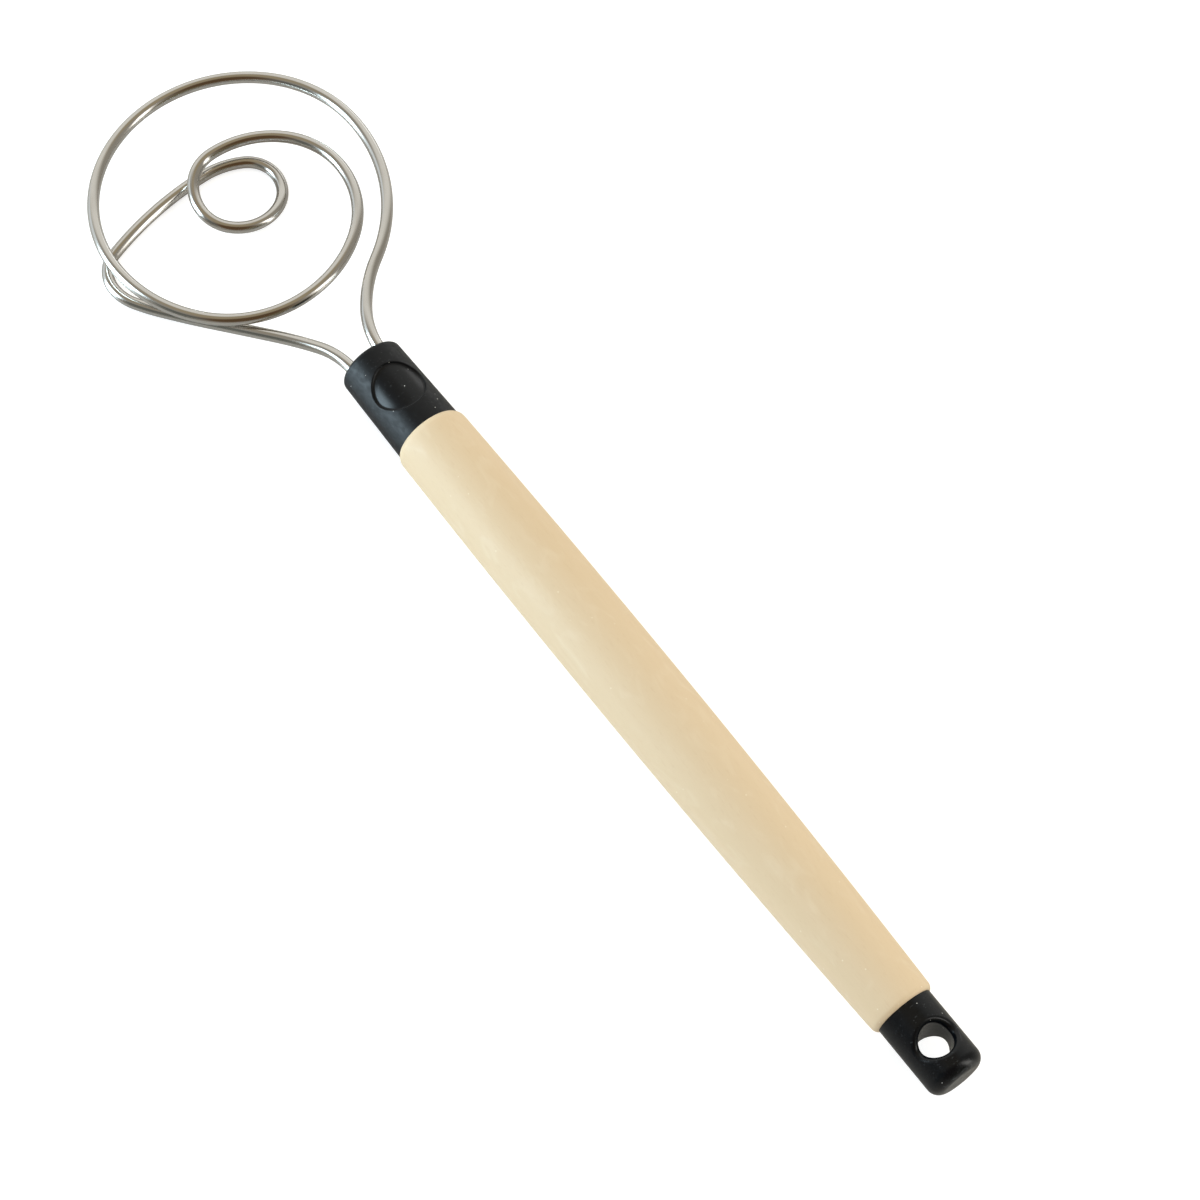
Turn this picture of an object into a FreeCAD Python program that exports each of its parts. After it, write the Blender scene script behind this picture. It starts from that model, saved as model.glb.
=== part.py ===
import FreeCAD, Part
import math
import os
from FreeCAD import Vector

# Dough whisk: a bent wire head, a moulded collar, a turned wooden grip and a moulded end cap.
# The origin is the middle of the hanging hole, on the handle's axis.
# X runs along the handle towards the wire head, Y is to the left of it and Z is up.
# The whisk lies on the widest place of its grip and on the low run of its wire.

# Grip: a turned barrel, measured between its two end faces
grip_length = 194.6
grip_head_dia = 20.8
grip_belly_dia = 22.0
grip_tail_dia = 17.8
belly_from_head = 70.0
head_rim_length = 2.0
head_rim_drop = 0.8
tail_rim_length = 1.6
tail_rim_drop = 0.9

# Tenon on the head end of the grip, which the collar slides over
tenon_dia = 14.4
tenon_length = 20.0

# Collar: a tapered moulded sleeve with a thick front wall for the two wire legs
collar_length = 27.0
collar_rear_dia = 19.1
collar_front_dia = 17.9
collar_front_round = 1.2
leg_hole_clearance = 0.05
leg_hole_chamfer = 0.3

# Plain round recess on the top of the collar
recess_dia = 14.2
recess_depth = 0.75
recess_edge_round = 0.2
recess_from_grip = 13.2

# End cap: a moulded plug with a hanging hole across it
cap_dia = 15.5
cap_tip = 10.1
cap_end_round = 3.2
hole_to_grip = 11.1
hanging_hole_dia = 8.5
hanging_hole_lip = 1.2
spigot_dia = 10.0
spigot_length = 16.0

# Adhesive gaps, and the rings that key the adhesive
glue_gap = 0.25
glue_pad = 0.4
epoxy_gap = 0.25
key_width = 2.0
key_depth = 0.4
key_count = 3

# Wire: one length of round stainless wire
wire_dia = 3.3
leg_spacing = 9.2
leg_depth = 44.0

# Wire head in plan: reaches run forward from the collar's face, sides are off the handle's axis
right_bend_reach = 26.2
right_bend_side = 20.4
right_bend_angle = 55.0
outer_loop_dia = 78.3
outer_loop_reach = 66.9
outer_loop_shift = 2.4
inner_near_reach = 28.2
inner_near_side = 2.2
inner_far_reach = 82.1
inner_far_shift = 4.1
inner_right_reach = 57.5
inner_right_side = 30.1
eye_near_reach = 57.7
eye_far_reach = 80.6
eye_left_side = 7.7
eye_right_side = 16.1
heel_start_reach = 74.2
heel_start_side = 33.8
heel_start_angle = 111.0
heel_reach = 65.4
heel_side = 39.5
return_start_reach = 52.3
return_start_side = 33.9
return_end_reach = 24.7
return_end_side = 14.5

# Wire head in height: how far the wire's middle rises above its low run
right_bend_rise = 8.0
outer_side_rise = 5.8
outer_far_rise = 3.6
inner_near_rise = 7.4
inner_right_rise = 6.3
inner_far_rise = 5.2
eye_left_rise = 3.7
eye_near_rise = 1.7
return_start_rise = 0.5
return_end_rise = 4.9

# Places along the handle's axis
grip_tail_x = hole_to_grip
grip_head_x = grip_tail_x + grip_length
belly_x = grip_head_x - belly_from_head
tenon_end_x = grip_head_x + tenon_length
socket_floor_x = tenon_end_x + glue_pad
collar_face_x = grip_head_x + collar_length
recess_x = grip_head_x + recess_from_grip
leg_end_x = collar_face_x - leg_depth
leg_hole_end_x = leg_end_x - glue_pad
spigot_end_x = grip_tail_x + spigot_length
bore_end_x = spigot_end_x + glue_pad

# The surface that the whisk lies on, and the height of the wire's low run
rest_z = -grip_belly_dia / 2
low_z = rest_z + wire_dia / 2

# Diameters that follow from a fit
socket_dia = tenon_dia + 2 * glue_gap
spigot_bore_dia = spigot_dia + 2 * glue_gap
leg_hole_dia = wire_dia + 2 * leg_hole_clearance
leg_bed_dia = wire_dia + 2 * epoxy_gap

axis_x = Vector(1, 0, 0)
axis_z = Vector(0, 0, 1)
touch = 1e-4


def cylinder_x(dia, x_from, x_to, y=0.0):
    """A solid rod along X between two places."""
    return Part.makeCylinder(dia / 2, x_to - x_from, Vector(x_from, y, 0), axis_x)


def tangent_arc(start, direction, end):
    """The arc that leaves start along a direction and reaches end, or a line if they are in line."""
    chord = end - start
    along = Vector(chord).normalize()
    aside = direction - along * direction.dot(along)
    if aside.Length < touch:
        return Part.LineSegment(start, end).toShape()
    half_turn = math.acos(max(-1.0, min(1.0, direction.dot(along)))) / 2
    bulge = aside.normalize() * (chord.Length / 2 * math.tan(half_turn))
    return Part.Arc(start, (start + end) * 0.5 + bulge, end).toShape()


def arc_end_way(start, direction, end):
    """The direction in which the arc that leaves start along a direction reaches end."""
    along = (end - start).normalize()
    return along * (2 * direction.dot(along)) - direction


def turned(edges):
    """The solid turned about the handle's axis from a closed outline in the XZ plane."""
    return Part.Face(Part.Wire(edges)).revolve(Vector(0, 0, 0), axis_x, 360)


def straight_outline(corners):
    """Straight edges through corners given as places along X and radii, closed at the end."""
    points = [Vector(x, 0, radius) for x, radius in corners]
    points.append(points[0])
    return [Part.LineSegment(a, b).toShape() for a, b in zip(points, points[1:])]


def ring_edge(shape, x, dia):
    """The circular edges of a turned solid at a place along X with a diameter."""
    found = []
    for edge in shape.Edges:
        if isinstance(edge.Curve, Part.Circle):
            circle = edge.Curve
            if abs(circle.Center.x - x) < touch and abs(circle.Radius - dia / 2) < touch:
                found.append(edge)
    return found


def key_rings(outer_dia, x_from, x_to):
    """Rings to cut from a rod, evenly spread between two places, which hold the adhesive."""
    step = (x_to - x_from) / (key_count + 1)
    rings = []
    for index in range(key_count):
        start = x_from + step * (index + 1) - key_width / 2
        rod = cylinder_x(outer_dia + 2 * key_depth, start, start + key_width)
        core = cylinder_x(outer_dia - 2 * key_depth, start, start + key_width)
        rings.append(rod.cut(core))
    return rings


def leg_rods(dia, x_from, x_to):
    """A rod on each of the two leg axes: the right one first."""
    return [cylinder_x(dia, x_from, x_to, side * leg_spacing / 2) for side in (-1, 1)]


def wooden_grip():
    """The turned barrel with its tenon, the two leg holes and the bore for the end cap."""
    belly = Vector(belly_x, 0, grip_belly_dia / 2)
    tail = Vector(grip_tail_x + tail_rim_length, 0, grip_tail_dia / 2)
    head = Vector(grip_head_x - head_rim_length, 0, grip_head_dia / 2)
    tail_rim = Vector(grip_tail_x, 0, grip_tail_dia / 2 - tail_rim_drop)
    head_rim = Vector(grip_head_x, 0, grip_head_dia / 2 - head_rim_drop)
    outline = [
        tangent_arc(belly, -axis_x, tail),
        tangent_arc(tail, arc_end_way(belly, -axis_x, tail), tail_rim),
        tangent_arc(belly, axis_x, head),
        tangent_arc(head, arc_end_way(belly, axis_x, head), head_rim),
    ]
    corners = [
        head_rim,
        Vector(grip_head_x, 0, tenon_dia / 2),
        Vector(tenon_end_x, 0, tenon_dia / 2),
        Vector(tenon_end_x, 0, 0),
        Vector(grip_tail_x, 0, 0),
        tail_rim,
    ]
    outline += [Part.LineSegment(a, b).toShape() for a, b in zip(corners, corners[1:])]
    grip = turned(Part.__sortEdges__(outline))
    cuts = key_rings(tenon_dia, grip_head_x, tenon_end_x)
    cuts += leg_rods(leg_bed_dia, leg_hole_end_x, tenon_end_x)
    cuts.append(cylinder_x(spigot_bore_dia, grip_tail_x, bore_end_x))
    return grip.cut(cuts)


def collar_outside(shrink=0.0):
    """The collar's tapered outside as a solid, drawn in by a depth."""
    corners = [
        (grip_head_x, 0),
        (grip_head_x, collar_rear_dia / 2 - shrink),
        (collar_face_x, collar_front_dia / 2 - shrink),
        (collar_face_x, 0),
    ]
    return turned(straight_outline(corners))


def wire_collar():
    """The tapered sleeve with its socket, two leg holes and the plain round recess on top."""
    collar = collar_outside()
    front_edge = ring_edge(collar, collar_face_x, collar_front_dia)
    collar = collar.makeFillet(collar_front_round, front_edge)
    post = Part.makeCylinder(recess_dia / 2, collar_rear_dia, Vector(recess_x, 0, 0), axis_z)
    collar = collar.cut(post.cut(collar_outside(recess_depth)))
    rim = [edge for edge in collar.Edges if on_recess_rim(edge)]
    collar = collar.makeFillet(recess_edge_round, rim)
    collar = collar.cut(cylinder_x(socket_dia, grip_head_x, socket_floor_x))
    collar = collar.cut(leg_rods(leg_hole_dia, socket_floor_x, collar_face_x))
    mouths = []
    for side in (-1, 1):
        start = Vector(collar_face_x - leg_hole_chamfer, side * leg_spacing / 2, 0)
        wide = leg_hole_dia / 2 + leg_hole_chamfer
        mouths.append(Part.makeCone(leg_hole_dia / 2, wide, leg_hole_chamfer, start, axis_x))
    return collar.cut(mouths)


def on_recess_rim(edge):
    """Whether an edge lies on the recess wall where it breaks out through the collar's outside."""
    for vertex in [edge.valueAt(edge.FirstParameter), edge.valueAt(edge.LastParameter)]:
        off_axis = math.hypot(vertex.x - recess_x, vertex.y)
        taper = (vertex.x - grip_head_x) / collar_length
        outside = collar_rear_dia + (collar_front_dia - collar_rear_dia) * taper
        if abs(off_axis - recess_dia / 2) > touch:
            return False
        if abs(math.hypot(vertex.y, vertex.z) - outside / 2) > touch:
            return False
    return True


def end_cap():
    """The plug with its rounded end, its keyed spigot and the hanging hole with soft lips."""
    corners = [
        (-cap_tip, 0),
        (-cap_tip, cap_dia / 2),
        (grip_tail_x, cap_dia / 2),
        (grip_tail_x, spigot_dia / 2),
        (spigot_end_x, spigot_dia / 2),
        (spigot_end_x, 0),
    ]
    cap = turned(straight_outline(corners))
    cap = cap.makeFillet(cap_end_round, ring_edge(cap, -cap_tip, cap_dia))
    cap = cap.cut(key_rings(spigot_dia, grip_tail_x, spigot_end_x))
    hole = Part.makeCylinder(hanging_hole_dia / 2, 2 * cap_dia, Vector(0, 0, -cap_dia), axis_z)
    cap = cap.cut(hole)
    lips = [edge for edge in cap.Edges if on_hole_wall(edge)]
    return cap.makeFillet(hanging_hole_lip, lips)


def on_hole_wall(edge):
    """Whether an edge runs round a mouth of the hanging hole."""
    steps = 5
    first = edge.FirstParameter
    span = edge.LastParameter - first
    heights = []
    for index in range(steps):
        point = edge.valueAt(first + span * index / (steps - 1))
        if abs(math.hypot(point.x, point.y) - hanging_hole_dia / 2) > touch:
            return False
        heights.append(point.z)
    return min(heights) > 0 or max(heights) < 0


def wire_stations():
    """Places along the wire head, from the right leg to the left: plan place, height and heading."""
    outer_y = -outer_loop_shift
    outer_r = outer_loop_dia / 2
    eye_y = (eye_left_side - eye_right_side) / 2
    eye_x = (eye_near_reach + eye_far_reach) / 2
    run_x = return_end_reach - return_start_reach
    run_y = return_end_side - return_start_side
    return_angle = math.degrees(math.atan2(run_y, run_x))
    leg_rise = -low_z
    return [
        (0, -leg_spacing / 2, leg_rise, 0),
        (right_bend_reach, -right_bend_side, right_bend_rise, -right_bend_angle),
        (outer_loop_reach, outer_y - outer_r, outer_side_rise, 0),
        (outer_loop_reach + outer_r, outer_y, outer_far_rise, 90),
        (outer_loop_reach, outer_y + outer_r, outer_side_rise, 180),
        (inner_near_reach, inner_near_side, inner_near_rise, 270),
        (inner_right_reach, -inner_right_side, inner_right_rise, 0),
        (inner_far_reach, -inner_far_shift, inner_far_rise, 90),
        (eye_x, eye_left_side, eye_left_rise, 180),
        (eye_near_reach, eye_y, eye_near_rise, 270),
        (eye_x, -eye_right_side, 0, 0),
        (eye_far_reach, 0, 0, 90),
        (heel_start_reach, heel_start_side, 0, heel_start_angle),
        (heel_reach, heel_side, 0, 180),
        (return_start_reach, return_start_side, return_start_rise, return_angle),
        (return_end_reach, return_end_side, return_end_rise, return_angle),
        (0, leg_spacing / 2, leg_rise, 180),
    ]


def climb_rates(points):
    """The climb at each place: level at the ends, at high or low points and beside a level run."""
    rates = []
    for before, after in zip(points, points[1:]):
        run = math.hypot(after.x - before.x, after.y - before.y)
        rates.append((after.z - before.z) / run)
    climbs = [0.0]
    for before, after in zip(rates, rates[1:]):
        steady = before * after > 0
        climbs.append(2 * before * after / (before + after) if steady else 0.0)
    climbs.append(0.0)
    return climbs


def biarc(start, start_way, end, end_way):
    """Two tangent arcs in space that leave start one way and reach end another way."""
    across = end - start
    both = start_way + end_way
    bend = 2 * (1 - start_way.dot(end_way))
    lean = across.dot(both)
    reach = across.dot(across) / (lean + math.sqrt(lean * lean + bend * across.dot(across)))
    middle = (start + start_way * reach + end - end_way * reach) * 0.5
    first = tangent_arc(start, start_way, middle)
    second = tangent_arc(end, -end_way, middle)
    return [first, second]


def wire_path():
    """The edges of the wire's middle line: two straight legs and the head's tangent arcs."""
    stations = wire_stations()
    points = [Vector(collar_face_x + x, y, low_z + rise) for x, y, rise, _ in stations]
    ways = []
    for (_, _, _, heading), climb in zip(stations, climb_rates(points)):
        turn = math.radians(heading)
        ways.append(Vector(math.cos(turn), math.sin(turn), climb).normalize())
    right_end = Vector(leg_end_x, -leg_spacing / 2, 0)
    left_end = Vector(leg_end_x, leg_spacing / 2, 0)
    edges = [Part.LineSegment(right_end, points[0]).toShape()]
    for index in range(len(points) - 1):
        edges += biarc(points[index], ways[index], points[index + 1], ways[index + 1])
    edges.append(Part.LineSegment(points[-1], left_end).toShape())
    return Part.__sortEdges__(edges)


def least_self_gap(path):
    """The least gap between stretches of the wire that aren't neighbours, measured on points."""
    step_count = 3
    neighbour_count = 4 * step_count
    points = path.discretize(Distance=wire_dia / step_count)
    least = path.Length
    for index, point in enumerate(points):
        for other in points[index + neighbour_count:]:
            least = min(least, point.distanceToPoint(other))
    return least - wire_dia


def whisk_wire():
    """The whole wire as one unbroken round tube."""
    edges = wire_path()
    path = Part.Wire(edges)
    start = path.Vertexes[0].Point
    section = Part.Wire([Part.Circle(start, axis_x, wire_dia / 2).toShape()])
    wire = path.makePipeShell([section], True, False)
    radii = [edge.Curve.Radius for edge in edges if isinstance(edge.Curve, Part.Circle)]
    ideal = math.pi * wire_dia ** 2 / 4 * path.Length
    print("wire length %.1f mm, tightest bend %.2f mm" % (path.Length, min(radii)))
    print("wire volume over section times length %.6f" % (wire.Volume / ideal))
    print("least gap of the wire to itself %.2f mm" % least_self_gap(path))
    return wire


def collar_glue(grip):
    """Cured adhesive that fills the socket round the tenon."""
    fill = cylinder_x(socket_dia, grip_head_x, socket_floor_x)
    return fill.cut([grip] + leg_rods(leg_bed_dia, grip_head_x, socket_floor_x))


def cap_glue(cap):
    """Cured adhesive that fills the bore round the end cap's spigot."""
    return cylinder_x(spigot_bore_dia, grip_tail_x, bore_end_x).cut(cap)


def leg_epoxy(bed, leg):
    """Cured epoxy that beds one wire leg in its hole."""
    return bed.cut(leg)


def build():
    """Every piece of the whisk by its name."""
    grip = wooden_grip()
    cap = end_cap()
    beds = leg_rods(leg_bed_dia, leg_hole_end_x, socket_floor_x)
    legs = leg_rods(wire_dia, leg_end_x, socket_floor_x)
    return {
        "whisk_wire": whisk_wire(),
        "wire_collar": wire_collar(),
        "wooden_grip": grip,
        "end_cap": cap,
        "collar_glue": collar_glue(grip),
        "cap_glue": cap_glue(cap),
        "right_leg_epoxy": leg_epoxy(beds[0], legs[0]),
        "left_leg_epoxy": leg_epoxy(beds[1], legs[1]),
    }


def report(name, shape):
    """Print what a piece measures."""
    box = shape.optimalBoundingBox(False, False)
    print("%s: solids %d, valid %s" % (name, len(shape.Solids), shape.isValid()))
    print("  volume %.1f mm3, x %.2f to %.2f" % (shape.Volume, box.XMin, box.XMax))
    print("  y %.2f to %.2f, z %.2f to %.2f" % (box.YMin, box.YMax, box.ZMin, box.ZMax))


def report_hanging_hole(cap):
    """Print the radius and the length of the hanging hole's straight wall."""
    upright = 1 - touch
    for face in cap.Faces:
        wall = face.Surface
        if isinstance(wall, Part.Cylinder) and abs(wall.Axis.z) > upright:
            low, high = face.ParameterRange[2:]
            print("hanging hole: radius %.3f mm, wall %.3f mm" % (wall.Radius, high - low))


pieces = build()
os.makedirs("parts", exist_ok=True)
for name, shape in pieces.items():
    shape.exportStep("parts/%s.step" % name)
    report(name, shape)
report_hanging_hole(pieces["end_cap"])
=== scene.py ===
# %% [markdown]
# # A dough whisk
# A dough whisk is one stiff wire bent into open loops, held by a black collar on a pale turned
# grip, with a black cap and a hanging hole at the other end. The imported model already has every
# piece at its real size, so it is loaded first and nothing in it is moved. The looks are made
# around it: finer meshes where the eye goes first, and a material for each finish. Everything is
# in metres.

import math

import bmesh
import bpy
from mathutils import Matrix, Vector, noise


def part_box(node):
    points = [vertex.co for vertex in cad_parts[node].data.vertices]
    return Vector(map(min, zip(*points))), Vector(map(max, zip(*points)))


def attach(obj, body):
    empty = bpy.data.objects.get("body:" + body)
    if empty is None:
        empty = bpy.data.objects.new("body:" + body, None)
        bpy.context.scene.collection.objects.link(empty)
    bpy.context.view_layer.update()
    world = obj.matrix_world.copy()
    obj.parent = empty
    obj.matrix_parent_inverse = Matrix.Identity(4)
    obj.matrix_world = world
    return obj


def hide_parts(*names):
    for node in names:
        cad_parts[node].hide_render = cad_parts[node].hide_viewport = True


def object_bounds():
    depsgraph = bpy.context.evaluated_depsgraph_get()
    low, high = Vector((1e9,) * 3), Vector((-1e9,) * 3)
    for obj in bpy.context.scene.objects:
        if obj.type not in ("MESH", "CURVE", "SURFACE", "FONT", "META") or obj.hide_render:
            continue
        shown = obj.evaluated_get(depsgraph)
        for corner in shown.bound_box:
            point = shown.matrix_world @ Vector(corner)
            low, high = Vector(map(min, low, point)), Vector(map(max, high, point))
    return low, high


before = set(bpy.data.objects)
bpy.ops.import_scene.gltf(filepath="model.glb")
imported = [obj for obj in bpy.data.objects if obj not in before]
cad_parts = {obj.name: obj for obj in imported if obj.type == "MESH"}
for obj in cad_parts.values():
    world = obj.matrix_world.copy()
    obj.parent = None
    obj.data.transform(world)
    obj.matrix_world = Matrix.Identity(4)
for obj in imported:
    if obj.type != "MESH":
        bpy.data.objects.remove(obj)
cad_low, cad_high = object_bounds()
MM = 0.001
print("pieces in the frame:", sorted(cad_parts))
print("overall size in mm:", [round(side / MM, 2) for side in cad_high - cad_low])

# %% [markdown]
# ## Colours and shader nodes
# Colours are given as sRGB hex values, while shaders work with linear light, so one
# function converts them. A second one adds a shader node with its settings, numbers and links in
# one line, which keeps each material short enough to read as a recipe.

# %% Helpers for materials
def linear(hex_colour):
    """The linear colour, with alpha, of an sRGB hex value."""
    channels = [int(hex_colour[place:place + 2], 16) / 255 for place in (1, 3, 5)]
    return [c / 12.92 if c <= 0.04045 else ((c + 0.055) / 1.055) ** 2.4 for c in channels] + [1.0]


def add(tree, kind, inputs=None, **settings):
    """Add one shader node. Its inputs are numbers, colours or the sockets that feed them."""
    made = tree.nodes.new("ShaderNode" + kind)
    for name, value in settings.items():
        setattr(made, name, value)
    for place, value in (inputs or {}).items():
        if isinstance(value, bpy.types.NodeSocket):
            tree.links.new(value, made.inputs[place])
        else:
            made.inputs[place].default_value = value
    return made


def empty_material(name):
    """A material with an empty node tree."""
    material = bpy.data.materials.new(name)
    material.use_nodes = True
    material.node_tree.nodes.clear()
    return material, material.node_tree


# A mix node has several kinds of socket. These are the places of those for colours and numbers.
MIX_FACTOR, MIX_FROM, MIX_TO, MIX_RESULT = 0, 6, 7, 2
NUMBER_FROM, NUMBER_TO, NUMBER_RESULT = 2, 3, 0
print("mid grey in linear light: %.3f" % linear("#808080")[0])

# %% [markdown]
# ## The wire's middle line
# The whole head is one wire. It leaves the collar on the right, sweeps round the outer loop, turns
# in to the inner loop and the small eye, runs low across to a tight heel and comes back on the
# left. A hand-drawn curve would only come near that. So the line has the same stations as the
# model, each a place and a heading, and two tangent arcs join each station to the next, as a wire
# bender does it.

# %% Stations along the wire
WIRE_DIA = 3.3 * MM
# The straight return run, from beside the heel towards the collar: forward and left in mm.
RETURN_FROM, RETURN_TO = (52.3, 33.9), (24.7, 14.5)
wire_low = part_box("whisk_wire")[0]
collar_face_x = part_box("wire_collar")[1].x
low_run_z = wire_low.z + WIRE_DIA / 2
leg_rise = -low_run_z / MM
return_x, return_y = (end - start for start, end in zip(RETURN_FROM, RETURN_TO))
return_heading = math.degrees(math.atan2(return_y, return_x))

# Each station: forward of the collar, to the left and above the low run in mm, heading in degrees.
wire_stations = [
    (0, -4.6, leg_rise, 0),
    (26.2, -20.4, 8.0, -55),
    (66.9, -41.55, 5.8, 0),
    (106.05, -2.4, 3.6, 90),
    (66.9, 36.75, 5.8, 180),
    (28.2, 2.2, 7.4, 270),
    (57.5, -30.1, 6.3, 0),
    (82.1, -4.1, 5.2, 90),
    (69.15, 7.7, 3.7, 180),
    (57.7, -4.2, 1.7, 270),
    (69.15, -16.1, 0, 0),
    (80.6, 0, 0, 90),
    (74.2, 33.8, 0, 111),
    (65.4, 39.5, 0, 180),
    (*RETURN_FROM, 0.5, return_heading),
    (*RETURN_TO, 4.9, return_heading),
    (0, 4.6, leg_rise, 180),
]
places = [Vector((collar_face_x + x * MM, y * MM, low_run_z + rise * MM))
          for x, y, rise, _ in wire_stations]
print("stations along the wire:", len(places))

# %% Climb and heading at each station
neighbours = list(zip(places, places[1:]))
slopes = [(after.z - before.z) / (after - before).xy.length for before, after in neighbours]

# The climb at a station is the harmonic mean of the slopes beside it, and level at a crest or dip.
climbs = [0.0]
for before, after in zip(slopes, slopes[1:]):
    climbs.append(2 * before * after / (before + after) if before * after > 0 else 0.0)
climbs.append(0.0)

ways = []
for (_, _, _, heading), climb in zip(wire_stations, climbs):
    turn = math.radians(heading)
    ways.append(Vector((math.cos(turn), math.sin(turn), climb)).normalized())
print("steepest climb: %.1f degrees" % math.degrees(math.atan(max(map(abs, climbs)))))

# %% Arcs between the stations
RING_STEP = 0.5 * MM
# An end that lies nearer than this to the starting line is reached by a straight line.
IN_LINE = 1e-7


def arc_points(start, way, end, step):
    """Points on the arc that leaves start along a way and reaches end, the start left out."""
    chord = end - start
    aside = chord - way * chord.dot(way)
    if aside.length < IN_LINE:
        count = math.ceil(chord.length / step)
        return [start.lerp(end, index / count) for index in range(1, count + 1)]
    aside.normalize()
    half_turn = chord.angle(way)
    radius = chord.length / (2 * math.sin(half_turn))
    count = math.ceil(2 * half_turn * radius / step)
    turns = [2 * half_turn * index / count for index in range(1, count + 1)]
    return [start + way * (radius * math.sin(turn)) + aside * (radius * (1 - math.cos(turn)))
            for turn in turns]


def biarc_points(start, start_way, end, end_way, step):
    """Points on two tangent arcs that leave start one way and reach end another way."""
    # Both arcs have tangents of the same reach, which is the root of a quadratic equation.
    across = end - start
    bend = 2 * (1 - start_way.dot(end_way))
    lean = across.dot(start_way + end_way)
    reach = across.dot(across) / (lean + math.sqrt(lean * lean + bend * across.dot(across)))
    middle = (start + start_way * reach + end - end_way * reach) / 2
    second = [end] + arc_points(end, -end_way, middle, step)
    return arc_points(start, start_way, middle, step) + second[-2::-1]


right_end = Vector((wire_low.x, places[0].y, 0))
left_end = Vector((wire_low.x, places[-1].y, 0))
stations = list(zip(places, ways))
wire_line = [right_end] + arc_points(right_end, ways[0], places[0], RING_STEP)
for here, there in zip(stations, stations[1:]):
    wire_line += biarc_points(*here, *there, RING_STEP)
wire_line += arc_points(places[-1], ways[-1], left_end, RING_STEP)
wire_length = sum((b - a).length for a, b in zip(wire_line, wire_line[1:]))
print("wire length: %.1f mm on %d points" % (wire_length / MM, len(wire_line)))

# %% [markdown]
# ## The wire
# A curve with a round bevel would give a tube too, but a mesh lets each point remember where it is
# along and across the wire. The polish lines of a drawn wire follow its length round every bend,
# so the material needs those coordinates. The rings are carried along the line without twisting.

# %% Tube round the line
WIRE_SIDES = 64
SMOOTH_UNDER = math.radians(35)


def tube_rings(line, radius, sides):
    """Points in rings round a line, and the place of each point along and across the line."""
    rings, coords = [], []
    up = Vector((0, 0, 1))
    run = 0.0
    for index, point in enumerate(line):
        before = line[max(index - 1, 0)]
        after = line[min(index + 1, len(line) - 1)]
        way = (after - before).normalized()
        up = (up - way * up.dot(way)).normalized()
        side = way.cross(up)
        run += (point - before).length
        for step in range(sides):
            angle = 2 * math.pi * step / sides
            over, beside = radius * math.cos(angle), radius * math.sin(angle)
            rings.append(point + up * over + side * beside)
            coords.append((run, over, beside))
    return rings, coords


def ring_faces(ring_count, sides):
    """Quads between neighbouring rings, and one flat face at each end."""
    faces = [tuple(reversed(range(sides)))]
    for ring in range(ring_count - 1):
        for step in range(sides):
            a, b = ring * sides + step, ring * sides + (step + 1) % sides
            faces.append((a, b, b + sides, a + sides))
    faces.append(tuple(range((ring_count - 1) * sides, ring_count * sides)))
    return faces


points, coords = tube_rings(wire_line, WIRE_DIA / 2, WIRE_SIDES)
wire_mesh = bpy.data.meshes.new("drawn_wire")
wire_mesh.from_pydata(points, [], ring_faces(len(wire_line), WIRE_SIDES))
wire_mesh.shade_smooth()
wire_mesh.set_sharp_from_angle(angle=SMOOTH_UNDER)
drawn = wire_mesh.attributes.new("drawn", "FLOAT_VECTOR", "POINT")
drawn.data.foreach_set("vector", [value for coord in coords for value in coord])
print("wire mesh: %d faces" % len(wire_mesh.polygons))

# %% The wire as a piece
def new_piece(name, mesh, node):
    """An object that rides on the body and stands for a CAD node."""
    piece = bpy.data.objects.new(name, mesh)
    bpy.context.scene.collection.objects.link(piece)
    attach(piece, "root")
    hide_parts(node)
    return piece


wire = new_piece("drawn_wire", wire_mesh, "whisk_wire")
print("new piece:", wire.name)

# %% [markdown]
# ## Stainless steel, drawn and polished
# The wire was pulled through a die and tumbled bright. It mirrors the room: a dark band from
# above, pale edges from the floor and white streaks from the windows. Fine lines along the wire
# spread those reflections a little, and handling leaves patches that are slightly duller.

# %% Material of the wire
def polished_steel():
    """Bright steel, with fine lines along the wire and patches dulled by handling."""
    material, tree = empty_material("stainless_steel_drawn_and_polished")
    coords = add(tree, "Attribute", attribute_name="drawn").outputs["Vector"]
    # Draw lines are about 0.05 mm apart: these are drawn seven times coarser so that they show.
    line_length, line_spacing, line_depth = 40 * MM, 0.35 * MM, 0.0006 * MM
    stretched = add(tree, "Mapping", {
        "Vector": coords, "Scale": (1 / line_length, 1 / line_spacing, 1 / line_spacing)})
    lines = add(tree, "TexNoise", {"Vector": stretched.outputs[0], "Scale": 1.0, "Detail": 3.0})
    bump = add(tree, "Bump", {
        "Height": lines.outputs["Fac"], "Distance": line_depth, "Strength": 1.0})
    patch_size = 9 * MM
    patches = add(tree, "TexNoise", {"Vector": coords, "Scale": 1 / patch_size, "Detail": 3.0})
    colour = add(tree, "Mix", {
        MIX_FACTOR: patches.outputs["Fac"], MIX_FROM: linear("#dcdad6"), MIX_TO: linear("#d1cec9"),
    }, data_type="RGBA")
    roughness = add(tree, "MapRange", {
        "Value": patches.outputs["Fac"], "From Min": 0.3, "From Max": 0.7,
        "To Min": 0.11, "To Max": 0.18})
    shader = add(tree, "BsdfPrincipled", {
        "Base Color": colour.outputs[MIX_RESULT], "Metallic": 1.0,
        "Roughness": roughness.outputs["Result"], "Normal": bump.outputs["Normal"]})
    add(tree, "OutputMaterial", {"Surface": shader.outputs["BSDF"]})
    return material


wire_mesh.materials.append(polished_steel())
print("wire finish:", wire_mesh.materials[0].name)

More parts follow.
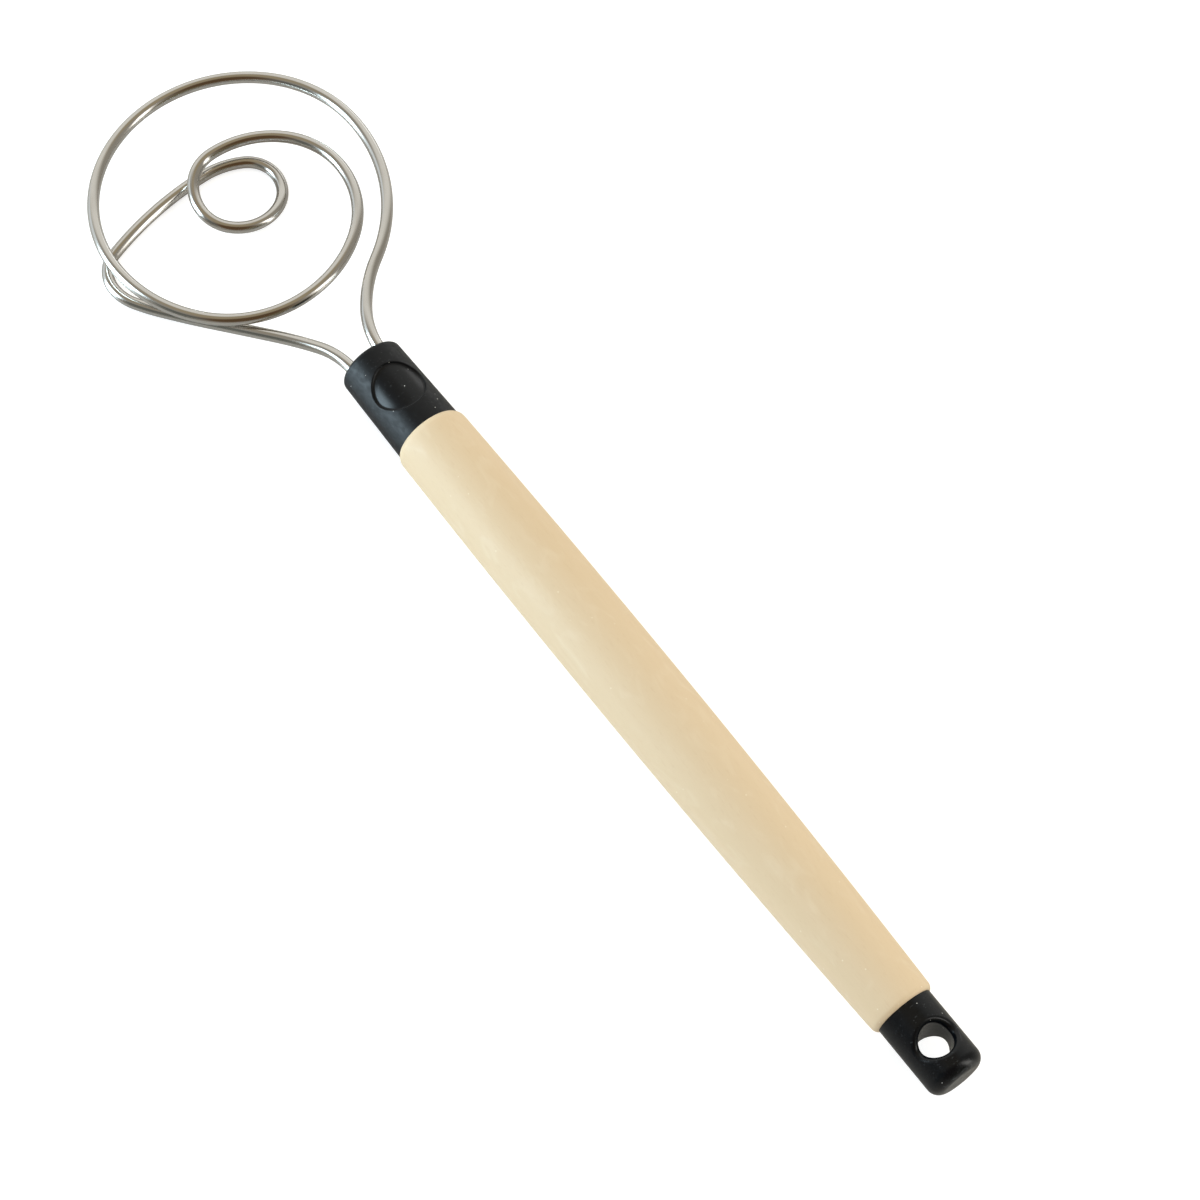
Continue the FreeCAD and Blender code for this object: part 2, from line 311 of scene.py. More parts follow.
# %% [markdown]
# ## The grip
# The grip is turned on a lathe, sanded by hand and dipped in lacquer. A perfect lathe shape would
# look like plastic pipe, so the turned skin gets the slight waviness that sanding leaves, always
# inwards. The outline is the model's: one long arc from the belly to each end, and a small round
# rim there.

# %% Outline of the grip
BELLY_BACK = 70 * MM
HEAD_RADIUS, HEAD_RIM, HEAD_DROP = 10.4 * MM, 2.0 * MM, 0.8 * MM
TAIL_RADIUS, TAIL_RIM, TAIL_DROP = 8.9 * MM, 1.6 * MM, 0.9 * MM
ALONG_STEP, RIM_STEP = 1.0 * MM, 0.12 * MM
grip_low, grip_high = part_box("wooden_grip")
head_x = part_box("wire_collar")[0].x
tail_x = grip_low.x
tenon_end_x = grip_high.x
belly = Vector((head_x - BELLY_BACK, 0, grip_high.z))


def half_skin(way, end_x, radius, rim, drop):
    """One half of the outline: a long arc from the belly, and a small arc over the rim."""
    shoulder = Vector((end_x - rim * way.x, 0, radius))
    barrel = arc_points(belly, way, shoulder, ALONG_STEP)
    onward = (barrel[-1] - barrel[-2]).normalized()
    return barrel + arc_points(shoulder, onward, Vector((end_x, 0, radius - drop)), RIM_STEP)


tail_side = half_skin(Vector((-1, 0, 0)), tail_x, TAIL_RADIUS, TAIL_RIM, TAIL_DROP)
head_side = half_skin(Vector((1, 0, 0)), head_x, HEAD_RADIUS, HEAD_RIM, HEAD_DROP)
skin = tail_side[::-1] + [belly] + head_side
print("outline of the turned skin: %d points" % len(skin))

# %% Tenon with its glue rings, and bore for the cap
TENON_RADIUS, KEY_WIDTH, KEY_DEPTH, KEY_COUNT = 7.2 * MM, 2.0 * MM, 0.4 * MM, 3
key_step = (tenon_end_x - head_x) / (KEY_COUNT + 1)
key_radius = TENON_RADIUS - KEY_DEPTH
tenon = [(head_x, TENON_RADIUS)]
for index in range(1, KEY_COUNT + 1):
    key_start = head_x + key_step * index - KEY_WIDTH / 2
    key_end = key_start + KEY_WIDTH
    tenon += [(key_start, TENON_RADIUS), (key_start, key_radius),
              (key_end, key_radius), (key_end, TENON_RADIUS)]
tenon.append((tenon_end_x, TENON_RADIUS))
bore_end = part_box("cap_glue")[1]
bore = [(bore_end.x, bore_end.z), (tail_x, bore_end.z)]
outline = bore + [(point.x, point.z) for point in skin] + tenon
print("whole outline: %d points" % len(outline))

# %% Turn the grip
GRIP_SIDES = 144
WAVE_DEPTH, WAVE_LENGTH, WAVE_WIDTH = 0.05 * MM, 22 * MM, 9 * MM
RIM_DEPTH, RIM_REACH = 0.12 * MM, 3 * MM


def sanded(x, radius, angle):
    """The radius of the sanded skin: a little inside the turned one, in gentle waves."""
    y, z = radius * math.cos(angle), radius * math.sin(angle)
    wave = noise.noise(Vector((x / WAVE_LENGTH, y / WAVE_WIDTH, z / WAVE_WIDTH)))
    near_rim = max(0.0, 1 - min(x - tail_x, head_x - x) / RIM_REACH)
    depth = WAVE_DEPTH + RIM_DEPTH * near_rim
    return radius - depth * (0.5 + 0.5 * wave)


def turned_mesh(name, outline, skin_from, skin_to, sides):
    """A solid turned about X from places and radii, with a flat face at each end."""
    points, faces = [], []
    for index, (x, radius) in enumerate(outline):
        for step in range(sides):
            angle = 2 * math.pi * step / sides
            r = sanded(x, radius, angle) if skin_from <= index < skin_to else radius
            points.append((x, r * math.cos(angle), r * math.sin(angle)))
    for ring in range(len(outline) - 1):
        for step in range(sides):
            a, b = ring * sides + step, ring * sides + (step + 1) % sides
            faces.append((a, a + sides, b + sides, b))
    faces.append(tuple(range(sides)))
    faces.append(tuple(reversed(range((len(outline) - 1) * sides, len(outline) * sides))))
    mesh = bpy.data.meshes.new(name)
    mesh.from_pydata(points, [], faces)
    return mesh


grip_mesh = turned_mesh("turned_grip", outline, len(bore), len(bore) + len(skin), GRIP_SIDES)
print("turned grip: %d faces" % len(grip_mesh.polygons))

# %% Drill for the wire's legs
DRILL_SIDES = 48


def lathe(made, outline, sides, centre_y=0.0):
    """Add a surface turned about an axis along X, from places and radii. Gives its rings."""
    turns = [2 * math.pi * step / sides for step in range(sides)]
    rings = []
    for x, radius in outline:
        circle = [(x, centre_y + radius * math.sin(a), radius * math.cos(a)) for a in turns]
        rings.append([made.verts.new(point) for point in circle])
    for ring, after in zip(rings, rings[1:]):
        for step in range(sides):
            ahead = (step + 1) % sides
            made.faces.new((ring[step], ring[ahead], after[ahead], after[step]))
    return rings


def drilled(mesh, profile):
    """A mesh with two round holes cut on the axes of the wire's legs, from places and radii."""
    rods = bmesh.new()
    for leg in (places[0], places[-1]):
        rings = lathe(rods, profile, DRILL_SIDES, leg.y)
        rods.faces.new(rings[0])
        rods.faces.new(rings[-1])
    bmesh.ops.recalc_face_normals(rods, faces=rods.faces)
    drill_mesh = bpy.data.meshes.new("drill")
    rods.to_mesh(drill_mesh)
    rods.free()
    drill = bpy.data.objects.new("drill", drill_mesh)
    work = bpy.data.objects.new("work", mesh)
    for item in (drill, work):
        bpy.context.scene.collection.objects.link(item)
    cut = work.modifiers.new("leg_holes", "BOOLEAN")
    cut.object, cut.operation, cut.solver = drill, "DIFFERENCE", "EXACT"
    shown = work.evaluated_get(bpy.context.evaluated_depsgraph_get())
    result = bpy.data.meshes.new_from_object(shown)
    for item in (drill, work):
        bpy.data.objects.remove(item)
    result.name = mesh.name
    result.shade_smooth()
    result.set_sharp_from_angle(angle=SMOOTH_UNDER)
    return result


print("drill: two rods %.1f mm apart" % ((places[-1].y - places[0].y) / MM))

# %% Holes for the wire's legs in the grip
PAST_FACE = 0.5 * MM
bed_low, bed_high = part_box("left_leg_epoxy")
bed_radius = (bed_high.z - bed_low.z) / 2
grip_mesh = drilled(grip_mesh, [(bed_low.x, bed_radius), (tenon_end_x + PAST_FACE, bed_radius)])
grip = new_piece("turned_grip", grip_mesh, "wooden_grip")
print("new piece: %s, %d faces" % (grip.name, len(grip_mesh.polygons)))

# %% [markdown]
# ## Beech, turned and lacquered
# Beech is pale and even, with short dark flecks along the grain. Under a cream satin lacquer
# hardly any of it shows, so the flecks and growth bands are kept faint. The lacquer gives a broad
# soft sheen. It is uneven where it ran and glossier in smears where it lies thicker, and paler
# colour is painted into those smears as sheen. A few specks of dust dried in it.

# %% Wood of the grip
def beech_wood(tree, coords):
    """The colour of bare beech: growth bands, far apart along the grain, and short dark flecks."""
    band_length, band_width = 90 * MM, 6 * MM
    band_coords = add(tree, "Mapping", {
        "Vector": coords, "Scale": (1 / band_length, 1 / band_width, 1 / band_width)})
    bands = add(tree, "TexNoise", {"Vector": band_coords.outputs[0], "Scale": 1.0, "Detail": 3.0})
    wood = add(tree, "Mix", {
        MIX_FACTOR: bands.outputs["Fac"], MIX_FROM: linear("#dac7a8"), MIX_TO: linear("#d3be9b"),
    }, data_type="RGBA")
    fleck_length, fleck_width = 2.6 * MM, 0.45 * MM
    fleck_coords = add(tree, "Mapping", {
        "Vector": coords, "Scale": (1 / fleck_length, 1 / fleck_width, 1 / fleck_width)})
    flecks = add(tree, "TexNoise", {
        "Vector": fleck_coords.outputs[0], "Scale": 1.0, "Detail": 2.0})
    fleck_mask = add(tree, "MapRange", {
        "Value": flecks.outputs["Fac"], "From Min": 0.58, "From Max": 0.75,
        "To Min": 0.0, "To Max": 0.14})
    flecked = add(tree, "Mix", {
        MIX_FACTOR: fleck_mask.outputs["Result"], MIX_FROM: wood.outputs[MIX_RESULT],
        MIX_TO: linear("#bfa078")}, data_type="RGBA")
    return flecked.outputs[MIX_RESULT]


print("recipe for the wood: growth bands and flecks")

# %% Lacquer on the wood
def lacquered_beech():
    """Beech under a cream satin lacquer."""
    material, tree = empty_material("beech_turned_and_lacquered")
    coords = add(tree, "TexCoord").outputs["Object"]
    # The lacquer lies thicker in soft smears, and there it is glossier. The paler colour there is
    # painted sheen.
    smear_length, smear_width, smear_depth = 11 * MM, 5 * MM, 0.03 * MM
    smear_coords = add(tree, "Mapping", {
        "Vector": coords, "Scale": (1 / smear_length, 1 / smear_width, 1 / smear_width)})
    smears = add(tree, "TexNoise", {
        "Vector": smear_coords.outputs[0], "Scale": 1.0, "Detail": 5.0, "Distortion": 1.2})
    painted_sheen_mask = add(tree, "MapRange", {
        "Value": smears.outputs["Fac"], "From Min": 0.52, "From Max": 0.75,
        "To Min": 0.0, "To Max": 0.30})
    # Painted sheen: the smears get a paler colour that stands in for their highlight.
    sheen_painted = add(tree, "Mix", {
        MIX_FACTOR: painted_sheen_mask.outputs["Result"], MIX_FROM: beech_wood(tree, coords),
        MIX_TO: linear("#e2d5bb")}, data_type="RGBA")
    roughness = add(tree, "MapRange", {
        "Value": smears.outputs["Fac"], "From Min": 0.3, "From Max": 0.7,
        "To Min": 0.62, "To Max": 0.46})
    bump = add(tree, "Bump", {
        "Height": smears.outputs["Fac"], "Distance": smear_depth, "Strength": 1.0})
    # A few specks of dust, each a small round spot in its own cell.
    speck_spacing = 4 * MM
    specks = add(tree, "TexVoronoi", {"Vector": coords, "Scale": 1 / speck_spacing})
    speck_mask = add(tree, "MapRange", {
        "Value": specks.outputs["Distance"], "From Min": 0.03, "From Max": 0.06,
        "To Min": 0.6, "To Max": 0.0})
    dusted = add(tree, "Mix", {
        MIX_FACTOR: speck_mask.outputs["Result"], MIX_FROM: sheen_painted.outputs[MIX_RESULT],
        MIX_TO: linear("#f0e8d6")}, data_type="RGBA")
    shader = add(tree, "BsdfPrincipled", {
        "Base Color": dusted.outputs[MIX_RESULT], "Roughness": roughness.outputs["Result"],
        "IOR": 1.5, "Normal": bump.outputs["Normal"]})
    add(tree, "OutputMaterial", {"Surface": shader.outputs["BSDF"]})
    return material


grip_mesh.materials.append(lacquered_beech())
print("grip finish:", grip_mesh.materials[0].name)

# %% [markdown]
# ## The collar
# The collar is a moulded sleeve with a plain round sunken place on top. A Boolean cut would leave
# a hard edge there, and light would not roll over it. So the skin is woven outwards from the
# middle of the sunken place: circles follow its rounded floor and rim, and then open out until
# they reach both ends of the sleeve and close on its underside.

# %% Profile of the sunken place
REAR_RADIUS, FRONT_RADIUS, FRONT_ROUND = 9.55 * MM, 8.95 * MM, 1.2 * MM
RECESS_X, RECESS_RADIUS, RECESS_DEPTH = head_x + 13.2 * MM, 7.1 * MM, 0.75 * MM
FLOOR_ROUND, RIM_ROUND, ROUND_STEPS = 0.5 * MM, 0.2 * MM, 6
FLOOR_SHARES = (0.1, 0.25, 0.4, 0.55, 0.7, 0.85, 1.0)
PAST_RIM = (0.15 * MM, 0.4 * MM)
quarter = [math.pi / 2 * step / ROUND_STEPS for step in range(ROUND_STEPS + 1)]


def collar_radius(x):
    """The radius of the tapered outside at a place along X."""
    share = (x - head_x) / (collar_face_x - head_x)
    return REAR_RADIUS + (FRONT_RADIUS - REAR_RADIUS) * share


# Each circle of the sunken place: its distance from the middle, and its depth under the outside.
floor_edge = RECESS_RADIUS - FLOOR_ROUND
circles = [(floor_edge * share, RECESS_DEPTH) for share in FLOOR_SHARES]
circles += [(floor_edge + FLOOR_ROUND * math.sin(turn),
             RECESS_DEPTH - FLOOR_ROUND * (1 - math.cos(turn))) for turn in quarter[1:]]
circles += [(RECESS_RADIUS + RIM_ROUND * (1 - math.cos(turn)),
             RIM_ROUND * (1 - math.sin(turn))) for turn in quarter]
circles += [(RECESS_RADIUS + RIM_ROUND + past, 0.0) for past in PAST_RIM]
print("circles in the sunken place:", len(circles))

# %% Edge of the unrolled skin
AROUND, ALONG, OUTWARD = 44, 26, 22
front_x = collar_face_x - FRONT_ROUND

# Half of the edge: from the top round the front end, back along the underside and up the rear end.
half_edge = [(front_x, math.pi * step / AROUND) for step in range(AROUND)]
half_edge += [(front_x + (head_x - front_x) * step / ALONG, math.pi) for step in range(ALONG)]
half_edge += [(head_x, math.pi * (1 - step / AROUND)) for step in range(AROUND + 1)]
skin_edge = half_edge + [(x, -turn) for x, turn in half_edge[-2:0:-1]]
spokes = len(skin_edge)
print("points on the edge of the skin:", spokes)

# %% Rows of the weave
rows = []
for away, depth in circles:
    row = []
    for spoke in range(spokes):
        way = 2 * math.pi * spoke / spokes
        x = RECESS_X + away * math.cos(way)
        row.append((x, math.asin(away * math.sin(way) / collar_radius(x)), depth))
    rows.append(row)
last_circle = rows[-1]
for step in range(1, OUTWARD + 1):
    share = step / OUTWARD
    rows.append([(x + (edge_x - x) * share, turn + (edge_turn - turn) * share, 0.0)
                 for (x, turn, _), (edge_x, edge_turn) in zip(last_circle, skin_edge)])
print("rows in the weave:", len(rows))

# %% Skin of the collar
def on_collar(x, turn, depth):
    """A point of the collar's skin: its turn runs from the top towards Y."""
    radius = collar_radius(x) - depth
    return x, radius * math.sin(turn), radius * math.cos(turn)


# The points of the sunken floor are marked, because the mould was polished there.
woven = bmesh.new()
polish = woven.verts.layers.float.new("polish")
grid = [[woven.verts.new(on_collar(*place)) for place in row] for row in rows]
middle = woven.verts.new(on_collar(RECESS_X, 0.0, RECESS_DEPTH))
middle[polish] = 1.0
for (away, _), ring in zip(circles, grid):
    for point in ring:
        point[polish] = 1.0 if away < RECESS_RADIUS else 0.0
for spoke in range(spokes):
    ahead = (spoke + 1) % spokes
    woven.faces.new((middle, grid[0][spoke], grid[0][ahead]))
    for inner, outer in zip(grid, grid[1:]):
        woven.faces.new((inner[spoke], outer[spoke], outer[ahead], inner[ahead]))
print("woven skin: %d faces" % len(woven.faces))

# %% Ends and socket of the collar
MERGE = 0.001 * MM
socket_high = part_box("collar_glue")[1]
front = [(front_x + FRONT_ROUND * math.sin(turn),
          collar_radius(front_x) - FRONT_ROUND * (1 - math.cos(turn))) for turn in quarter]
socket = [(head_x, REAR_RADIUS), (head_x, socket_high.z), (socket_high.x, socket_high.z)]
for end in (front, socket):
    woven.faces.new(lathe(woven, end, 2 * AROUND)[-1])
bmesh.ops.remove_doubles(woven, verts=woven.verts, dist=MERGE)
bmesh.ops.recalc_face_normals(woven, faces=woven.faces)
collar_mesh = bpy.data.meshes.new("moulded_collar")
woven.to_mesh(collar_mesh)
woven.free()
print("closed collar: %d faces" % len(collar_mesh.polygons))

# %% Holes for the wire's legs in the collar
HOLE_RADIUS, MOUTH = 1.7 * MM, 0.3 * MM
hole = [(socket_high.x - PAST_FACE, HOLE_RADIUS), (collar_face_x - MOUTH, HOLE_RADIUS),
        (collar_face_x + MOUTH, HOLE_RADIUS + 2 * MOUTH)]
collar_mesh = drilled(collar_mesh, hole)
collar = new_piece("moulded_collar", collar_mesh, "wire_collar")
print("new piece: %s, %d faces" % (collar.name, len(collar_mesh.polygons)))

# %% [markdown]
# ## Nylon, moulded black
# The collar and the end cap are moulded in black nylon. The mould leaves a fine mottled grain, so
# the window shows as a wide soft sheen. The floor of the sunken place was polished in the mould,
# and the cap is rubbed glossier by hands and hooks, with a scuffed end. One recipe makes both: the
# sunken floor is marked on the collar's points, and the cap gets a lower roughness. The model's
# own cap has every rounding already, so it stays and only takes this finish.

# %% Scuffs and flour on the black pieces
def worn(tree, coords, black):
    """A black with grey scuffs from a drawer, most of them on the cap's end, and some flour."""
    scuff_length, scuff_width = 1.1 * MM, 0.5 * MM
    scuff_coords = add(tree, "Mapping", {
        "Vector": coords, "Scale": (1 / scuff_width, 1 / scuff_length, 1 / scuff_width)})
    scuffs = add(tree, "TexNoise", {
        "Vector": scuff_coords.outputs[0], "Scale": 1.0, "Detail": 5.0})
    along = add(tree, "SeparateXYZ", {"Vector": coords}).outputs["X"]
    # The low end of the model's box along X is the end of the cap.
    scuffs_start, scuffs_full = cad_low.x + 1.1 * MM, cad_low.x + 0.2 * MM
    near_end = add(tree, "MapRange", {
        "Value": along, "From Min": scuffs_start, "From Max": scuffs_full,
        "To Min": 0.0, "To Max": 0.16})
    wear = add(tree, "Math", {
        0: scuffs.outputs["Fac"], 1: near_end.outputs["Result"]}, operation="ADD")
    scuff_mask = add(tree, "MapRange", {
        "Value": wear.outputs["Value"], "From Min": 0.62, "From Max": 0.85,
        "To Min": 0.0, "To Max": 0.6})
    scuffed = add(tree, "Mix", {
        MIX_FACTOR: scuff_mask.outputs["Result"], MIX_FROM: black, MIX_TO: linear("#4a5053"),
    }, data_type="RGBA")
    # A few grains of flour, each a small round spot in its own cell.
    grain_spacing = 2.4 * MM
    flour = add(tree, "TexVoronoi", {"Vector": coords, "Scale": 1 / grain_spacing})
    flour_mask = add(tree, "MapRange", {
        "Value": flour.outputs["Distance"], "From Min": 0.04, "From Max": 0.07,
        "To Min": 0.9, "To Max": 0.0})
    floured = add(tree, "Mix", {
        MIX_FACTOR: flour_mask.outputs["Result"], MIX_FROM: scuffed.outputs[MIX_RESULT],
        MIX_TO: linear("#d3d6d4")}, data_type="RGBA")
    return floured.outputs[MIX_RESULT]


print("recipe for the wear: scuffs and flour")

# %% Material of the collar and the end cap
POLISHED_ROUGHNESS, POLISHED_RELIEF = 0.28, 0.3


def black_nylon(name, glossy, matt, grain_depth):
    """Moulded nylon: its roughness goes from glossy to matt over the mottled surface."""
    material, tree = empty_material(name)
    coords = add(tree, "TexCoord").outputs["Object"]
    polished = add(tree, "Attribute", attribute_name="polish").outputs["Fac"]
    # A spark-eroded mould has a grain of about 0.05 mm: it is drawn ten times coarser to show.
    grain_size = 0.5 * MM
    grain = add(tree, "TexNoise", {"Vector": coords, "Scale": 1 / grain_size, "Detail": 3.0})
    relief = add(tree, "MapRange", {"Value": polished, "To Min": 1.0, "To Max": POLISHED_RELIEF})
    bump = add(tree, "Bump", {
        "Height": grain.outputs["Fac"], "Distance": grain_depth,
        "Strength": relief.outputs["Result"]})
    # Where the melt cooled unevenly, some places are glossier than others.
    mottle_size = 1.2 * MM
    mottle = add(tree, "TexNoise", {
        "Vector": coords, "Scale": 1 / mottle_size, "Detail": 4.0, "Roughness": 0.65})
    mottled = add(tree, "MapRange", {
        "Value": mottle.outputs["Fac"], "From Min": 0.36, "From Max": 0.64,
        "To Min": glossy, "To Max": matt})
    roughness = add(tree, "Mix", {
        MIX_FACTOR: polished, NUMBER_FROM: mottled.outputs["Result"],
        NUMBER_TO: POLISHED_ROUGHNESS})
    black = add(tree, "Mix", {
        MIX_FACTOR: mottle.outputs["Fac"], MIX_FROM: linear("#04060a"), MIX_TO: linear("#0a0e12"),
    }, data_type="RGBA")
    shader = add(tree, "BsdfPrincipled", {
        "Base Color": worn(tree, coords, black.outputs[MIX_RESULT]),
        "Roughness": roughness.outputs[NUMBER_RESULT],
        "IOR": 1.53, "Specular IOR Level": 0.3, "Normal": bump.outputs["Normal"]})
    add(tree, "OutputMaterial", {"Surface": shader.outputs["BSDF"]})
    return material


collar_nylon = black_nylon("nylon_moulded_black", 0.36, 0.50, 0.006 * MM)
cap_nylon = black_nylon("nylon_moulded_black_and_rubbed", 0.17, 0.27, 0.001 * MM)
collar_mesh.materials.append(collar_nylon)
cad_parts["end_cap"].material_slots[0].material = cap_nylon
print("collar and cap finishes:", collar_nylon.name, cap_nylon.name)

# %% [markdown]
# ## Epoxy, cast and cured
# The legs of the wire and the two moulded pieces are bedded in epoxy. It hardly shows, but it is
# there when the whisk is taken apart: a honey-coloured resin with a few cloudy streaks. Cloudy
# colour is wanted for the floor too, so one recipe takes the colours and the finish.

# %% Material of the adhesive
def clouded(name, cloud_size, detail, pale, deep, finish):
    """A material of two close colours in soft clouds, with a finish of plain shader settings."""
    material, tree = empty_material(name)
    coords = add(tree, "TexCoord").outputs["Object"]
    clouds = add(tree, "TexNoise", {"Vector": coords, "Scale": 1 / cloud_size, "Detail": detail})
    colour = add(tree, "Mix", {
        MIX_FACTOR: clouds.outputs["Fac"], MIX_FROM: linear(pale), MIX_TO: linear(deep),
    }, data_type="RGBA")
    shader = add(tree, "BsdfPrincipled", {"Base Color": colour.outputs[MIX_RESULT], **finish})
    add(tree, "OutputMaterial", {"Surface": shader.outputs["BSDF"]})
    return material


epoxy = clouded("epoxy_cast_and_cured", 3 * MM, 3.0, "#d8b673", "#b98f4a",
                {"Roughness": 0.18, "IOR": 1.55})
for node in ("collar_glue", "cap_glue", "right_leg_epoxy", "left_leg_epoxy"):
    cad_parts[node].material_slots[0].material = epoxy
print("adhesive finish:", epoxy.name)

# %% [markdown]
# ## Floor
# The whisk lies on the belly of its grip and the low run of its wire. The eye sees a light table
# there: an opal sheet that is lit from below, so it stays white and only faint shadows fall on it.
# Mirrored in the wire, such a glowing floor would wash out its edges. So reflections see a
# polished grey table top in its place. It takes the whisk's own shadow and mirrors the windows,
# which the wire then shows too.

# %% Light table and table top
FLOOR_RADIUS, FLOOR_SIDES, TABLE_LIFT = 12.0, 96, 0.02 * MM
opal_acrylic = clouded(
    "acrylic_cast_opal_white", 20 * MM, 2.0, "#bfc0c1", "#bcbdbe",
    {"Roughness": 0.7, "Emission Color": linear("#ffffff"), "Emission Strength": 0.72})
grey_laminate = clouded(
    "laminate_pressed_and_polished_grey", 15 * MM, 2.0, "#b4b3b0", "#aeadaa",
    {"Roughness": 0.16, "IOR": 1.8})


def ground_disc(name, height, material):
    """A wide round floor at a height, which is not part of the object."""
    mesh = bpy.data.meshes.new(name)
    disc = bmesh.new()
    bmesh.ops.create_circle(disc, cap_ends=True, radius=FLOOR_RADIUS, segments=FLOOR_SIDES)
    disc.to_mesh(mesh)
    disc.free()
    mesh.materials.append(material)
    ground = bpy.data.objects.new(name, mesh)
    ground.location = (0, 0, height)
    bpy.context.scene.collection.objects.link(ground)
    return ground


light_table = ground_disc("light_table", cad_low.z, opal_acrylic)
light_table.visible_glossy = False
table_top = ground_disc("table_top", cad_low.z + TABLE_LIFT, grey_laminate)
table_top.visible_camera = table_top.visible_diffuse = table_top.visible_shadow = False
print("floor at %.1f mm" % (cad_low.z / MM))

# %% [markdown]
# ## Light
# Polished wire shows what stands around it, so the light is set up as a room. A window low on the
# left draws white streaks on the wire and a cool sheen on the black pieces, and a tall narrow one
# stands on the right. Thin curtains let both fade towards their frames, so that no hard edge shows
# in the wire. The rest of the light comes from two wide soft skies, one cool and one warm, that
# reflections don't see, because the ceiling has to stay dark in the wire.

# %% Windows
HEAD_REACH = 58 * MM
CURTAIN_MIDDLE, CURTAIN_FALL = 0.25, 2.0
head_middle = Vector((collar_face_x + HEAD_REACH, 0, 0))


def way_to(compass, height):
    """The direction at an angle from X towards Y, and at a height over the horizon, in degrees."""
    turn, climb = math.radians(compass), math.radians(height)
    level = math.cos(climb)
    return Vector((level * math.cos(turn), level * math.sin(turn), math.sin(climb)))


def window_lamp(name, way, distance, size, brightness, colour):
    """A rectangular soft lamp that stands in a direction from the wire head and faces it."""
    lamp = bpy.data.lights.new(name, "AREA")
    lamp.shape = "RECTANGLE"
    lamp.size, lamp.size_y = size
    lamp.energy = brightness * math.pi * size[0] * size[1]
    lamp.color = linear(colour)[:3]
    # A thin curtain: the light is full in the middle and fades out towards the frame.
    lamp.use_nodes = True
    curtain = lamp.node_tree
    curtain.nodes.clear()
    spot = add(curtain, "NewGeometry").outputs["Parametric"]
    centred = add(curtain, "VectorMath", {0: spot, 1: (0.5, 0.5, 0.0)}, operation="SUBTRACT")
    off_middle = add(curtain, "VectorMath", {0: centred.outputs["Vector"]}, operation="LENGTH")
    fade = add(curtain, "MapRange", {
        "Value": off_middle.outputs["Value"], "From Min": 0.5, "From Max": 0.5 * CURTAIN_MIDDLE,
    }, interpolation_type="SMOOTHSTEP")
    strength = add(curtain, "Math", {
        0: fade.outputs["Result"], 1: CURTAIN_FALL}, operation="POWER")
    shine = add(curtain, "Emission", {"Strength": strength.outputs["Value"]})
    add(curtain, "OutputLight", {"Surface": shine.outputs["Emission"]})
    holder = bpy.data.objects.new(name, lamp)
    holder.location = head_middle + way * distance
    holder.rotation_euler = (-way).to_track_quat("-Z", "Y").to_euler()
    bpy.context.scene.collection.objects.link(holder)
    return holder


left_window = window_lamp("left_window", way_to(60, 15), 0.6, (0.46, 0.84), 12.5, "#d8f1ff")
right_window = window_lamp("right_window", way_to(-149, 13), 1.2, (0.56, 2.6), 3.2, "#fffdf8")
print("windows:", left_window.name, right_window.name)

# %% Skies
SKY_SPREAD = math.radians(90)


def wide_sky(name, way, brightness, colour):
    """A wide soft sky that lights from a direction and that reflections don't see."""
    lamp = bpy.data.lights.new(name, "SUN")
    lamp.energy = brightness
    lamp.angle = SKY_SPREAD
    lamp.color = linear(colour)[:3]
    holder = bpy.data.objects.new(name, lamp)
    holder.rotation_euler = (-way).to_track_quat("-Z", "Y").to_euler()
    holder.visible_glossy = False
    bpy.context.scene.collection.objects.link(holder)
    return holder


cool_sky = wide_sky("cool_sky", way_to(65, 50), 1.12, "#f0f5ff")
warm_sky = wide_sky("warm_sky", way_to(-115, 50), 1.30, "#fff7e6")
print("skies:", cool_sky.name, warm_sky.name)

# %% Room
room = bpy.data.worlds.new("room")
room.use_nodes = True
walls = room.node_tree
walls.nodes.clear()
direction = add(walls, "TexCoord").outputs["Generated"]


def patch_of_room(way, edge, middle):
    """How far a direction lies inside a round patch, whose edge and middle are in degrees."""
    facing = add(walls, "VectorMath", {0: direction, 1: way}, operation="DOT_PRODUCT")
    return add(walls, "MapRange", {
        "Value": facing.outputs["Value"], "From Min": math.cos(math.radians(edge)),
        "From Max": math.cos(math.radians(middle)),
    }, interpolation_type="SMOOTHSTEP").outputs["Result"]


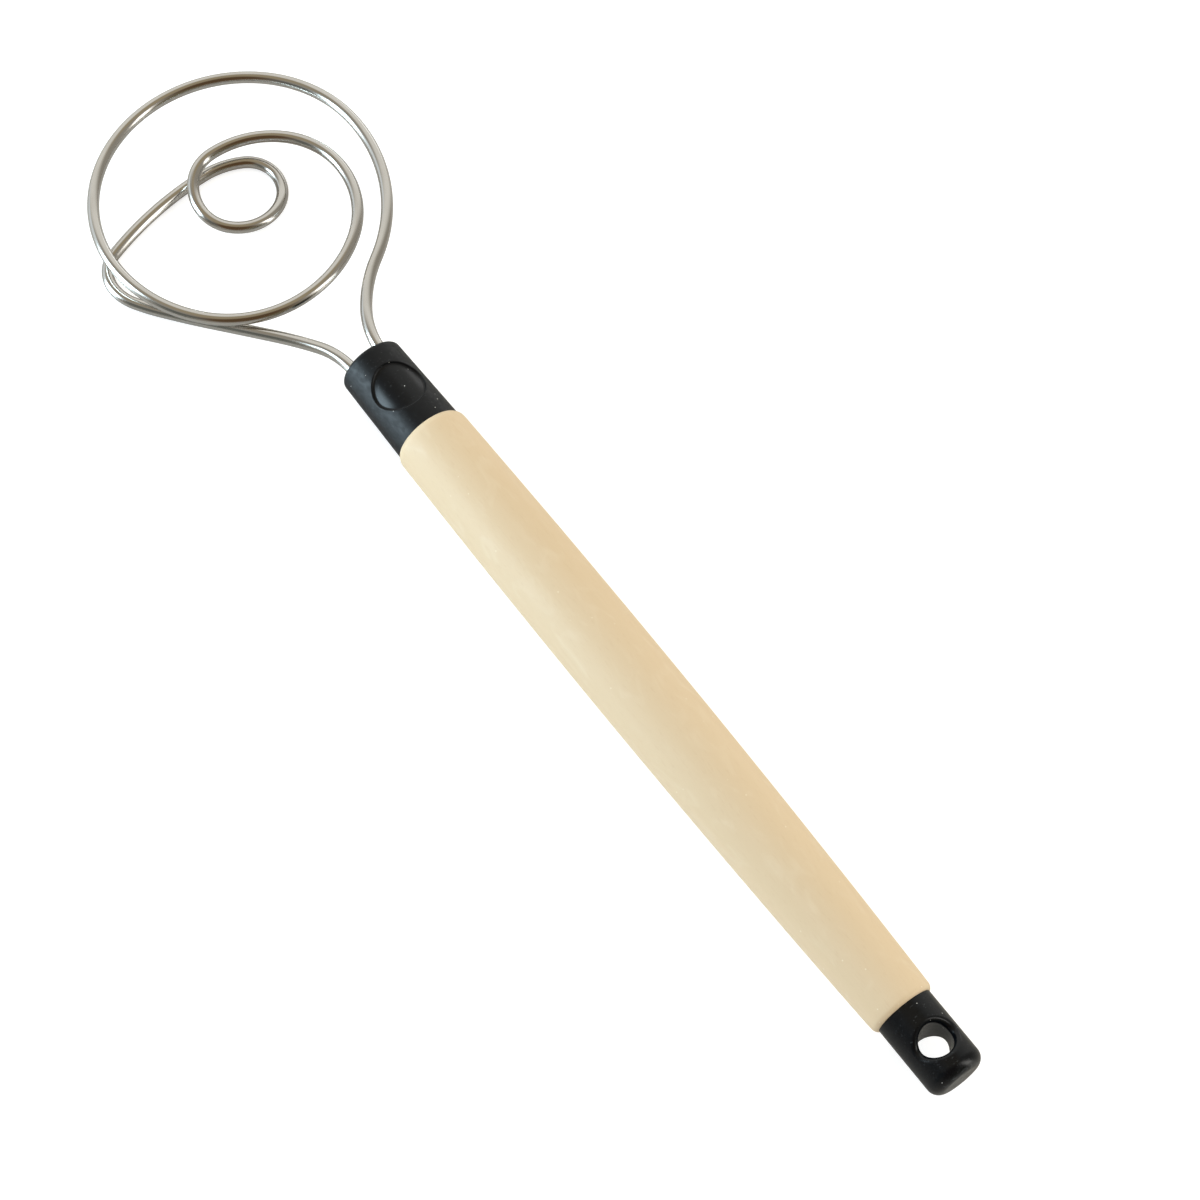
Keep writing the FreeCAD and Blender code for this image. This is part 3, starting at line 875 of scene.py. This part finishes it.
# Each patch is painted over the ones before it: walls and curtain, then the dark places.
patches = [
    (patch_of_room(way_to(-34, 8), 62, 42), "#edebe4", 1.0),
    (patch_of_room(way_to(-60, -6), 20, 6), "#ffffff", 1.8),
    (patch_of_room(way_to(36, 15), 28, 12), "#e4ebee", 1.0),
    (patch_of_room(way_to(0, 90), 38, 18), "#a4977e", 1.0),
    (patch_of_room(way_to(147, 42), 42, 20), "#5f4a34", 1.0),
    (patch_of_room(way_to(97, 28), 20, 8), "#62645f", 1.0),
    (patch_of_room(way_to(99, -4), 20, 8), "#62645f", 1.0),
    (patch_of_room(way_to(-177, 8), 30, 12), "#6d664f", 1.0),
]
paint = linear("#9a958b")
for inside, colour, brightness in patches:
    lit = [brightness * channel for channel in linear(colour)]
    paint = add(walls, "Mix", {
        MIX_FACTOR: inside, MIX_FROM: paint, MIX_TO: lit}, data_type="RGBA").outputs[MIX_RESULT]
backdrop = add(walls, "Background", {"Color": paint})
add(walls, "OutputWorld", {"Surface": backdrop.outputs["Background"]})
bpy.context.scene.world = room
bpy.context.scene.view_settings.view_transform = "Standard"
print("patches of the room:", len(patches))

# %% [markdown]
# ## Camera
# The picture looks down on the whisk from the left of its cap, with the head away to the upper
# left. The lens is a long one, so the two ends are almost at the same scale. The aim and the
# distance were fitted to the grip's edges and the ends of the handle.

# %% Camera
AIM = Vector((141.4, -7.1, 0.0)) * MM
DISTANCE = 763.6 * MM
AZIMUTH, ELEVATION = math.radians(232.93), math.radians(65.43)
LENS_IN_MM, SENSOR_IN_MM = 90, 36
forward = Vector((-math.sin(AZIMUTH) * math.cos(ELEVATION),
                  math.cos(AZIMUTH) * math.cos(ELEVATION), -math.sin(ELEVATION)))
lens = bpy.data.cameras.new("camera")
lens.lens, lens.sensor_width = LENS_IN_MM, SENSOR_IN_MM
camera = bpy.data.objects.new("camera", lens)
camera.location = AIM - forward * DISTANCE
camera.rotation_euler = forward.to_track_quat("-Z", "Y").to_euler()
bpy.context.scene.collection.objects.link(camera)
bpy.context.scene.camera = camera
print("camera at", [round(value, 4) for value in camera.location])
